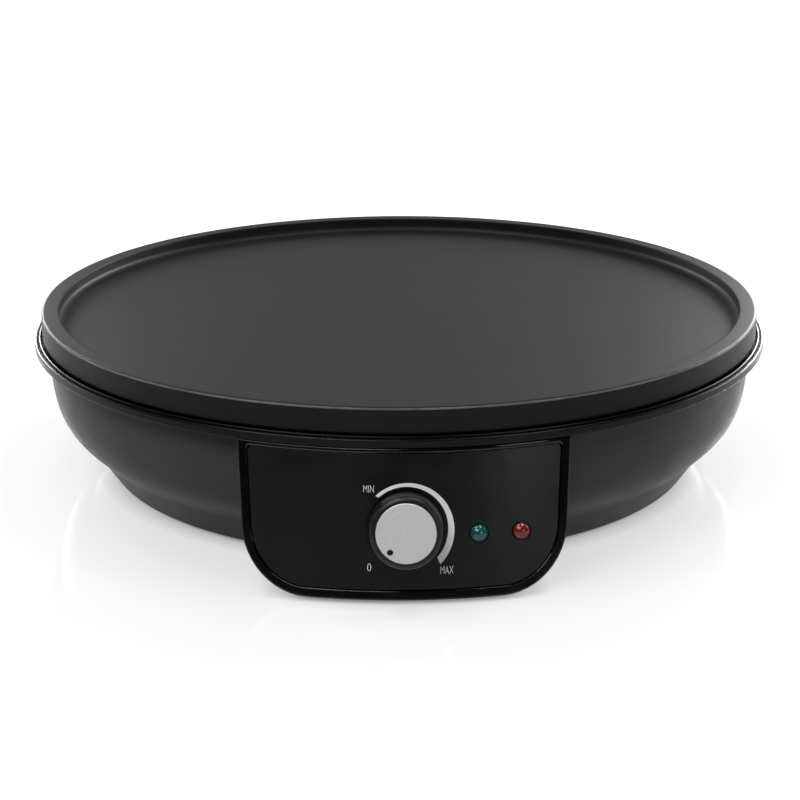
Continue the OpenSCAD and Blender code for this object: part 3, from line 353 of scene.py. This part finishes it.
class InnerSettings(bpy.types.PropertyGroup):
    """Colours of the parts inside the base"""

    steel: colour_property("Steel", "Colour of the screws and clamps", (0.55, 0.55, 0.56))
    brass: colour_property("Brass", "Colour of the brass pieces", (0.68, 0.47, 0.20))
    copper: colour_property("Copper", "Colour of the copper pieces", (0.72, 0.36, 0.22))
    ceramic: colour_property("Ceramic", "Colour of the ceramic pieces", (0.78, 0.75, 0.68))


class StageSettings(bpy.types.PropertyGroup):
    """Camera, lamps and surroundings"""

    distance: length_property("Distance", "Distance from the camera to the object", 0.9286)
    tilt: angle_property("Tilt", "How far the camera looks down", math.radians(18.01))
    turn: angle_property(
        "Turn", "How far the camera stands round the object", math.radians(-0.7))
    roll: angle_property("Roll", "Roll of the camera", -0.0029)
    lens: FloatProperty(name="Lens", description="Focal length of the camera", default=90.8)
    key_power: power_property("Key lamp", "Power of the softbox at the front", 13.0)
    top_power: power_property("Top lamps", "Power of each softbox overhead", 7.0)
    right_power: power_property("Right lamp", "Power of the softbox at the right", 5.0)
    left_power: power_property("Left lamp", "Power of the softbox at the left", 1.8)
    fill_power: power_property("Fill lamp", "Power of the softbox at the front right", 1.7)
    back_right_power: power_property(
        "Back right lamp", "Power of the softbox behind the object at the right", 4.4)
    back_left_power: power_property(
        "Back left lamp", "Power of the softbox behind the object at the left", 3.0)
    back_power: power_property(
        "Back lamp", "Power of the softbox straight behind the object", 0.2)
    backdrop: share_property(
        "Backdrop", "Brightness of the surroundings behind the object", 0.38)


class CrepeMakerSettings(bpy.types.PropertyGroup):
    """All settings of the crepe maker, one group for each step"""

    plate: PointerProperty(type=PlateSettings)
    ring: PointerProperty(type=RingSettings)
    base: PointerProperty(type=BaseSettings)
    panel: PointerProperty(type=PanelSettings)
    knob: PointerProperty(type=KnobSettings)
    lamps: PointerProperty(type=LampSettings)
    inner: PointerProperty(type=InnerSettings)
    stage: PointerProperty(type=StageSettings)


# ---------------------------------------------------------------- shapes


def face_point(x, z, lift):
    """A point on the control panel, lift above the fascia."""
    radius = FACE_TOP_R + (FACE_TOP_Z - z) * math.tan(PANEL_TILT)
    radius += (lift - FASCIA_SET) / math.cos(PANEL_TILT)
    return Vector((x, PLATE_AXIS_Y - math.sqrt(radius * radius - x * x), z))


def dial_arc(shift, radius, start, end):
    """Points of x and z along an arc of the dial, its centre shifted from the knob's axis."""
    turns = [math.radians(start + (end - start) * i / DIAL_STEPS)
             for i in range(DIAL_STEPS + 1)]
    return [(KNOB_X + (shift[0] + radius * math.cos(a)) * MM,
             KNOB_Z + (shift[1] + radius * math.sin(a)) * MM) for a in turns]


def printed_strip(name, inner, outer, low, high):
    """A closed strip of ink between two rows of panel points, given as (x, z)."""
    mesh = bmesh.new()
    rows = [[mesh.verts.new(face_point(x, z, lift)) for x, z in line]
            for lift in (low, high) for line in (inner, outer)]
    last = len(inner) - 1
    under_in, under_out, over_in, over_out = rows
    for i in range(last):
        for a, b in ((over_in, over_out), (under_out, under_in), (under_in, over_in),
                     (over_out, under_out)):
            mesh.faces.new((a[i], b[i], b[i + 1], a[i + 1]))
    for i in (0, last):
        mesh.faces.new((under_in[i], under_out[i], over_out[i], over_in[i]))
    bmesh.ops.recalc_face_normals(mesh, faces=mesh.faces)
    data = bpy.data.meshes.new(name)
    mesh.to_mesh(data)
    mesh.free()
    return data


def lettering(name, word):
    """The mesh of a word, its letters standing in X and Y and thickened in Z."""
    curve = bpy.data.curves.new(name, "FONT")
    curve.body = word
    curve.size = 1.0
    curve.resolution_u = LETTER_STEPS
    curve.extrude = LETTER_DEPTH
    curve.offset = LETTER_THINNING
    source = bpy.data.objects.new(name + "_source", curve)
    bpy.context.scene.collection.objects.link(source)
    bpy.context.view_layer.update()
    data = bpy.data.meshes.new_from_object(
        source.evaluated_get(bpy.context.evaluated_depsgraph_get()))
    bpy.data.objects.remove(source)
    return data


def printed_word(name, word, box, low, high):
    """Lettering laid on the panel inside a box of x and z: left, right, bottom and top."""
    left, right, bottom, top = box
    data = lettering(name, word)
    mesh = bmesh.new()
    mesh.from_mesh(data)
    bmesh.ops.remove_doubles(mesh, verts=mesh.verts, dist=LETTER_MERGE)
    xs = [v.co.x for v in mesh.verts]
    ys = [v.co.y for v in mesh.verts]
    x_low, x_high, y_low, y_high = min(xs), max(xs), min(ys), max(ys)
    for v in mesh.verts:
        x = left + (v.co.x - x_low) / (x_high - x_low) * (right - left)
        z = bottom + (v.co.y - y_low) / (y_high - y_low) * (top - bottom)
        v.co = face_point(x, z, high if v.co.z > 0 else low)
    bmesh.ops.recalc_face_normals(mesh, faces=mesh.faces)
    mesh.to_mesh(data)
    mesh.free()
    return data


def print_on_fascia(name, mesh, ink):
    """A printed mark as a piece of the appliance, fixed to its body."""
    mesh.materials.clear()
    mesh.materials.append(ink)
    piece = bpy.data.objects.new(name, mesh)
    bpy.context.scene.collection.objects.link(piece)
    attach(piece, "appliance")


# ---------------------------------------------------------------- operators


class CREPE_OT_griddle_plate(bpy.types.Operator):
    """Coat the griddle plate"""

    bl_idname = "crepe.griddle_plate"
    bl_label = "Griddle plate"

    def execute(self, context):
        chosen = context.scene.crepe_maker.plate
        coating = surface(
            "non_stick_coating", (chosen.coating, shade(chosen.coating, 1.05)),
            rough=(chosen.roughness - 0.01, chosen.roughness + 0.015),
            grain=(chosen.grain, chosen.grain_depth), cloud=14.0, edge=1.0 * MM, IOR=1.2)
        # Painted highlight along the rim's outer corner
        self.paint_rim_highlight(coating)
        paint(coating, "griddle_plate")
        return {"FINISHED"}

    def paint_rim_highlight(self, coating):
        """Paints a lighter colour along the rim's outer corner, a painted highlight for its glint.
        """
        tree = coating.node_tree
        base = node_of(tree, "BSDF_PRINCIPLED").inputs["Base Color"]
        place = add(tree, "ShaderNodeTexCoord").outputs["Object"]
        parts = add(tree, "ShaderNodeSeparateXYZ", {"Vector": place}).outputs
        across = combined(tree, "SUBTRACT", parts["Y"], PLATE_AXIS_Y)
        flat = add(tree, "ShaderNodeCombineXYZ", {"X": parts["X"], "Y": across}).outputs["Vector"]
        radius = add(tree, "ShaderNodeVectorMath", {0: flat}, operation="LENGTH").outputs["Value"]
        # Where the painted highlight lies: near the rim's outer corner, broken up by a noise
        highlight_mask = combined(
            tree, "MULTIPLY", ranged(tree, radius, *RIM_HIGHLIGHT_OUTWARDS),
            ranged(tree, parts["Z"], *RIM_HIGHLIGHT_UPWARDS),
            ranged(tree, noise(tree, place, RIM_HIGHLIGHT_CLOUD), *RIM_HIGHLIGHT_PATCHES))
        coated = base.links[0].from_socket
        tree.links.new(mixed(tree, highlight_mask, coated, rgba(RIM_HIGHLIGHT_COLOUR)), base)


class CREPE_OT_trim_ring(bpy.types.Operator):
    """Finish the trim ring"""

    bl_idname = "crepe.trim_ring"
    bl_label = "Trim ring"

    def execute(self, context):
        chosen = context.scene.crepe_maker.ring
        black = surface(
            "ring_plastic", (chosen.colour, shade(chosen.colour, 1.3)),
            rough=(chosen.roughness - 0.04, chosen.roughness + 0.06),
            grain=(0.6 * MM, 0.004 * MM), edge=0.3 * MM, Specular_IOR_Level=0.11)
        paint(black, "trim_ring")
        return {"FINISHED"}


class CREPE_OT_base(bpy.types.Operator):
    """Paint the base and its feet"""

    bl_idname = "crepe.base"
    bl_label = "Base and feet"

    def execute(self, context):
        chosen = context.scene.crepe_maker.base
        shell = surface(
            "base_paint", (chosen.colour, shade(chosen.colour, 1.1)),
            rough=(chosen.roughness - 0.04, chosen.roughness + 0.05),
            grain=(0.5 * MM, 0.006 * MM), cloud=20.0, edge=0.5 * MM, IOR=1.18)
        rubber = surface(
            "foot_rubber", (chosen.rubber, shade(chosen.rubber, 1.8)),
            rough=(0.75, 0.9), grain=(0.4 * MM, 0.03 * MM))
        paint(shell, "base_bowl")
        paint(rubber, "rubber_feet")
        return {"FINISHED"}


class CREPE_OT_control_panel(bpy.types.Operator):
    """Finish the control housing and its fascia, and print the dial"""

    bl_idname = "crepe.control_panel"
    bl_label = "Control panel"

    def execute(self, context):
        chosen = context.scene.crepe_maker.panel
        gloss = surface(
            "housing_gloss", (chosen.gloss, shade(chosen.gloss, 1.3)),
            rough=(0.08, 0.12), grain=(2.0 * MM, 0.002 * MM), edge=0.8 * MM,
            Specular_IOR_Level=0.4)
        satin = surface(
            "fascia_satin", (chosen.fascia, shade(chosen.fascia, 1.2)),
            rough=(0.26, 0.34), grain=(0.4 * MM, 0.01 * MM), edge=0.2 * MM,
            Specular_IOR_Level=0.26)
        paint(gloss, "control_housing")
        paint(satin, "control_fascia")
        self.print_dial(chosen)
        return {"FINISHED"}

    def print_dial(self, chosen):
        """Prints the wedge-shaped scale and its words on the fascia."""
        ink = surface("dial_ink", (chosen.ink, shade(chosen.ink, 0.9)),
                      rough=(0.35, 0.45), grain=(0.3 * MM, 0.002 * MM))
        layer = (INK_FOOT, chosen.ink_height)
        wedge = printed_strip("dial_wedge", dial_arc(*WEDGE_INNER), dial_arc(*WEDGE_OUTER), *layer)
        print_on_fascia("dial_wedge", wedge, ink)
        for name, word, box in DIAL_WORDS:
            letters = printed_word(name, word, [side * MM for side in box], *layer)
            print_on_fascia(name, letters, ink)


class CREPE_OT_knob(bpy.types.Operator):
    """Finish the thermostat knob"""

    bl_idname = "crepe.knob"
    bl_label = "Knob"

    def execute(self, context):
        chosen = context.scene.crepe_maker.knob
        black = surface(
            "knob_plastic", (chosen.body, shade(chosen.body, 1.3)),
            rough=(0.32, 0.40), grain=(0.5 * MM, 0.006 * MM), edge=0.4 * MM,
            Specular_IOR_Level=0.3)
        cap = surface(
            "knob_cap_metal", (chosen.cap, shade(chosen.cap, 0.9)),
            rough=(0.45, 0.55), grain=(0.3 * MM, 0.01 * MM), cloud=1500.0, Metallic=0.2)
        paint(black, "knob_body")
        paint(cap, "knob_cap")
        return {"FINISHED"}


class CREPE_OT_signal_lamps(bpy.types.Operator):
    """Tint the signal lenses"""

    bl_idname = "crepe.signal_lamps"
    bl_label = "Signal lamps"

    def execute(self, context):
        chosen = context.scene.crepe_maker.lamps
        for name, colour in (("green", chosen.green), ("red", chosen.red)):
            lens = surface(
                name + "_lens_tint", (colour, shade(colour, 0.8)),
                rough=(0.05, 0.10), grain=(1.0 * MM, 0.003 * MM), edge=0.7 * MM,
                Transmission_Weight=0.5, IOR=1.49)
            glass = surface(
                name + "_lamp_glass", LAMP_GLASS,
                rough=(0.05, 0.1), grain=(1.0 * MM, 0.002 * MM), Transmission_Weight=0.9)
            paint(lens, name + "_lens")
            paint(glass, name + "_lamp")
        return {"FINISHED"}


class CREPE_OT_inner_parts(bpy.types.Operator):
    """Finish the screws, the heating parts, the thermostat and the wiring"""

    bl_idname = "crepe.inner_parts"
    bl_label = "Inner parts"

    def execute(self, context):
        self.metals(context.scene.crepe_maker.inner)
        self.insulators(context.scene.crepe_maker.inner)
        return {"FINISHED"}

    def metals(self, chosen):
        """Finishes the fasteners, the sheet parts, the heater and the thermostat's metal parts."""
        steel = surface(
            "plated_steel", (chosen.steel, shade(chosen.steel, 0.85)),
            rough=(0.25, 0.4), grain=(0.4 * MM, 0.01 * MM), cloud=200.0, Metallic=1.0)
        sheet = surface(
            "rolled_sheet", (chosen.steel, shade(chosen.steel, 0.8)),
            rough=(0.3, 0.45), grain=(0.6 * MM, 0.01 * MM), stretch=(1, 12, 12), Metallic=1.0)
        alloy = surface(
            "reflector_alloy", ALLOY,
            rough=(0.2, 0.4), grain=(0.8 * MM, 0.01 * MM), stretch=(1, 10, 1), Metallic=1.0)
        heater = surface(
            "heater_sheath", HEATER_OXIDE,
            rough=(0.45, 0.6), grain=(0.5 * MM, 0.01 * MM), cloud=60.0, Metallic=0.9)
        brass = surface(
            "brass", (chosen.brass, shade(chosen.brass, 0.8)),
            rough=(0.25, 0.4), grain=(0.4 * MM, 0.006 * MM), cloud=200.0, Metallic=1.0)
        copper = surface(
            "copper", (chosen.copper, shade(chosen.copper, 0.75)),
            rough=(0.25, 0.4), grain=(0.4 * MM, 0.006 * MM), cloud=200.0, Metallic=1.0)
        paint(steel, "ring_screws", "foot_screws", "housing_screws", "bushing_nut",
              "bracket_screws", "plate_screws", "clamp_screws", "plate_studs", "stud_nuts",
              "terminal_screws", "thermostat_spindle", "knob_spring_clip")
        paint(sheet, "thermostat_bracket", "bulb_clip", "fuse_clip", "element_clamps")
        paint(alloy, "heat_reflector")
        paint(heater, "heating_element")
        paint(brass, "thermostat_bushing", "thermostat_tabs", "earth_tag")
        paint(copper, "capillary_tube", "sensor_bulb")

    def insulators(self, chosen):
        """Finishes the ceramic and plastic parts and the sleeves of the leads."""
        ceramic = surface(
            "ceramic", (chosen.ceramic, shade(chosen.ceramic, 0.9)),
            rough=(0.5, 0.65), grain=(0.4 * MM, 0.02 * MM), cloud=120.0)
        ivory = surface(
            "ivory_plastic", IVORY, rough=(0.4, 0.5), grain=(0.5 * MM, 0.01 * MM))
        black = surface(
            "gland_plastic", GLAND_BLACK, rough=(0.4, 0.5), grain=(0.5 * MM, 0.01 * MM))
        paint(ceramic, "thermostat_body", "element_insulators", "stud_sleeves", "thermal_fuse")
        paint(ivory, "lamp_boots", "terminal_block")
        paint(black, "cord_gland", "gland_nut")
        for name, colour in LEAD_SLEEVES.items():
            sleeve = surface(
                name + "_sleeve", (colour, shade(colour, 0.8)),
                rough=(0.35, 0.5), grain=(0.6 * MM, 0.02 * MM))
            paint(sleeve, name)


class CREPE_OT_stage(bpy.types.Operator):
    """Set up the floor, the lamps, the surroundings and the camera"""

    bl_idname = "crepe.stage"
    bl_label = "Stage"

    def execute(self, context):
        chosen = context.scene.crepe_maker.stage
        self.floor(context)
        self.surroundings(context, chosen)
        for name, place, size, power in SOFTBOXES:
            self.softbox(context, name, place, size, getattr(chosen, power))
        self.camera(context, chosen)
        context.scene.view_settings.view_transform = "Standard"
        return {"FINISHED"}

    def floor(self, context):
        """Lays a wide flat floor under the object."""
        mesh = bmesh.new()
        bmesh.ops.create_grid(
            mesh, x_segments=FLOOR_CELLS, y_segments=FLOOR_CELLS, size=FLOOR_HALF)
        data = bpy.data.meshes.new("floor")
        mesh.to_mesh(data)
        mesh.free()
        data.materials.append(self.floor_sheet())
        made = bpy.data.objects.new("floor", data)
        context.scene.collection.objects.link(made)

    def floor_sheet(self):
        """A grey sheet that looks white, with a faint mirror image nearby. Its white glow is fainter
        near the object, a painted shade, and darker still where the object meets it, a painted
        shadow.
        """
        material, tree, shader, place = new_material("floor_sheet")
        shader.inputs["Base Color"].default_value = rgba((FLOOR_GREY, FLOOR_GREY, FLOOR_GREY))
        shader.inputs["Roughness"].default_value = FLOOR_ROUGHNESS
        shader.inputs["Specular IOR Level"].default_value = 0.0
        away = add(tree, "ShaderNodeVectorMath", {0: place}, operation="LENGTH").outputs["Value"]
        path = add(tree, "ShaderNodeLightPath").outputs
        seen = combined(tree, "MAXIMUM", path["Is Camera Ray"], path["Is Glossy Ray"],
                        path["Is Transmission Ray"])
        # Painted contact shadow: ambient occlusion darkens the white glow where the object meets the
        # floor
        open_air = add(tree, "ShaderNodeAmbientOcclusion", {"Distance": CONTACT_REACH},
                       samples=EDGE_SAMPLES).outputs["AO"]
        painted_contact_shadow = combined(tree, "POWER", open_air, CONTACT_SOFTNESS)
        # Painted shade: the white glow is fainter near the object and full far away
        lift = ranged(tree, away, *FLOOR_WHITE_AND_SHADE)
        white = add(tree, "ShaderNodeEmission", {
            "Color": (1, 1, 1, 1), "Strength": combined(tree, "MULTIPLY", seen, lift, painted_contact_shadow)})
        sheet = add(tree, "ShaderNodeAddShader", {
            0: shader.outputs["BSDF"], 1: white.outputs["Emission"]})
        near = ranged(tree, away, *MIRROR_NEAR)
        mirror = add(tree, "ShaderNodeBsdfGlossy", {
            "Color": (1, 1, 1, 1), "Roughness": MIRROR_ROUGHNESS})
        mix = add(tree, "ShaderNodeMixShader", {
            0: combined(tree, "MULTIPLY", near, near, MIRROR_SHARE),
            1: sheet.outputs[0], 2: mirror.outputs["BSDF"]})
        tree.links.new(mix.outputs[0], node_of(tree, "OUTPUT_MATERIAL").inputs["Surface"])
        return material

    def surroundings(self, context, chosen):
        """A studio that is pale behind the object, brighter at the right, and dark in front."""
        world = bpy.data.worlds.new("studio")
        world.use_nodes = True
        tree = world.node_tree
        tree.nodes.clear()
        around = add(tree, "ShaderNodeTexCoord").outputs["Generated"]
        parts = add(tree, "ShaderNodeSeparateXYZ", {"Vector": around}).outputs
        behind = ranged(tree, parts["Y"], *GLOW_BEHIND)
        low = ranged(tree, parts["Z"], *GLOW_LOW)
        left = ranged(tree, parts["X"], *GLOW_LEFT)
        right = ranged(tree, parts["X"], *GLOW_RIGHT)
        glow = combined(tree, "MULTIPLY", behind, low,
                        combined(tree, "ADD", left, right), chosen.backdrop)
        pale = add(tree, "ShaderNodeBackground", {
            "Color": (1, 1, 1, 1), "Strength": combined(tree, "ADD", STUDIO_GREY, glow)})
        output = add(tree, "ShaderNodeOutputWorld")
        tree.links.new(pale.outputs["Background"], output.inputs["Surface"])
        context.scene.world = world

    def softbox(self, context, name, place, size, power):
        """Hangs a rectangular lamp that faces the object."""
        lamp = bpy.data.lights.new(name, "AREA")
        lamp.shape = "RECTANGLE"
        lamp.size, lamp.size_y = size
        lamp.energy = power
        made = bpy.data.objects.new(name, lamp)
        made.location = place
        towards = SOFTBOX_AIM - Vector(place)
        made.rotation_euler = towards.to_track_quat("-Z", "Y").to_euler()
        context.scene.collection.objects.link(made)

    def camera(self, context, chosen):
        """Stands the camera in front of the object, looking down on it."""
        data = bpy.data.cameras.new("camera")
        data.sensor_fit = "HORIZONTAL"
        data.sensor_width = SENSOR_WIDTH
        data.lens = chosen.lens
        data.shift_x, data.shift_y = LENS_SHIFT
        data.clip_start = CAMERA_NEAR
        made = bpy.data.objects.new("camera", data)
        flat = chosen.distance * math.cos(chosen.tilt)
        made.location = CAMERA_AIM + Vector((
            flat * math.sin(chosen.turn), -flat * math.cos(chosen.turn),
            chosen.distance * math.sin(chosen.tilt)))
        look = (CAMERA_AIM - made.location).to_track_quat("-Z", "Y")
        roll = Euler((0.0, 0.0, chosen.roll)).to_quaternion()
        made.rotation_euler = (look @ roll).to_euler()
        context.scene.collection.objects.link(made)
        context.scene.camera = made


class CREPE_PT_panel(bpy.types.Panel):
    """Sidebar panel with every step and its settings"""

    bl_idname = "CREPE_PT_panel"
    bl_label = "Crepe Maker"
    bl_space_type = "VIEW_3D"
    bl_region_type = "UI"
    bl_category = "Crepe Maker"

    def draw(self, context):
        for step, group in STEPS:
            box = self.layout.box()
            box.operator(step.bl_idname)
            chosen = getattr(context.scene.crepe_maker, group)
            for name in chosen.__annotations__:
                box.prop(chosen, name)


# Each step with the group of settings that it reads
STEPS = (
    (CREPE_OT_stage, "stage"),
    (CREPE_OT_griddle_plate, "plate"),
    (CREPE_OT_trim_ring, "ring"),
    (CREPE_OT_base, "base"),
    (CREPE_OT_control_panel, "panel"),
    (CREPE_OT_knob, "knob"),
    (CREPE_OT_signal_lamps, "lamps"),
    (CREPE_OT_inner_parts, "inner"),
)

GROUPS = (PlateSettings, RingSettings, BaseSettings, PanelSettings, KnobSettings, LampSettings,
          InnerSettings, StageSettings, CrepeMakerSettings)
CLASSES = (*GROUPS, *(step for step, _ in STEPS), CREPE_PT_panel)


def register():
    """Registers the settings, the steps and the panel."""
    for cls in CLASSES:
        bpy.utils.register_class(cls)
    bpy.types.Scene.crepe_maker = PointerProperty(type=CrepeMakerSettings)


def unregister():
    """Takes the settings, the steps and the panel away again."""
    del bpy.types.Scene.crepe_maker
    for cls in reversed(CLASSES):
        bpy.utils.unregister_class(cls)


def main():
    """Builds everything."""
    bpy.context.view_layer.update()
    register()
    for step, _ in STEPS:
        getattr(bpy.ops.crepe, step.bl_idname.split(".")[1])()


if __name__ == "__main__":
    main()
